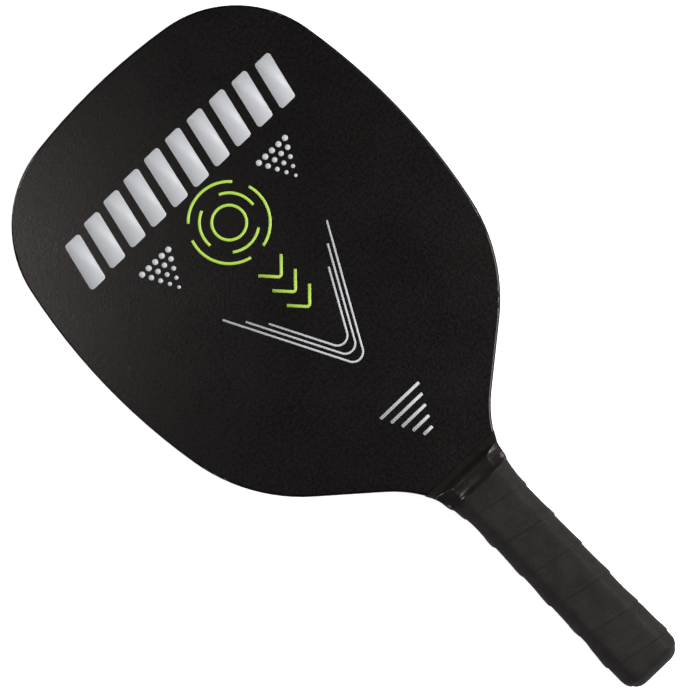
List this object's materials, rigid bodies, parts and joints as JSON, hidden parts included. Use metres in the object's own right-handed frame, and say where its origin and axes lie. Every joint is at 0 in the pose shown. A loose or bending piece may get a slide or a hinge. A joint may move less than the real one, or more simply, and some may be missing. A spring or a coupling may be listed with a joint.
{
  "type": "pickleball paddle",
  "caption": "Flat wooden court paddle with a rounded-square head, a wrapped octagonal handle, a moulded butt cap and finishing tape at the throat.",
  "frame": {"origin": "centre of the butt's end face, on the blade's mid-plane", "axes": "+Y along the paddle from the butt to the top of the head, +Z out of the front face, +X to the right seen from the front"},
  "size_m": [0.197, 0.395, 0.0274],
  "materials": {
    "painted_ply": "plywood under matte black paint",
    "bare_wood": "bare sanded",
    "cap_plastic": "moulded, fine matte",
    "staple_steel": "plain wire",
    "adhesive": "double-sided tape",
    "grip_foam": "foam backing",
    "grip_leatherette": "matte synthetic leather",
    "vinyl_tape": "stretched glossy vinyl",
    "light_ink": "screen-printed light grey ink",
    "lime_ink": "screen-printed lime ink"
  },
  "bodies": {
    "root": {"front_face_ply": "painted_ply", "front_cross_ply": "painted_ply", "front_long_ply": "painted_ply", "centre_cross_ply": "painted_ply", "back_long_ply": "painted_ply", "back_cross_ply": "painted_ply", "back_face_ply": "painted_ply", "front_scale": "bare_wood", "back_scale": "bare_wood", "butt_cap": "cap_plastic", "cap_staples": "staple_steel", "grip_start_staple": "staple_steel", "front_adhesive_strip": "adhesive", "back_adhesive_strip": "adhesive", "grip_foam_backing": "grip_foam", "grip_skin": "grip_leatherette", "collar_tape": "vinyl_tape"}
  },
  "joints": []
}
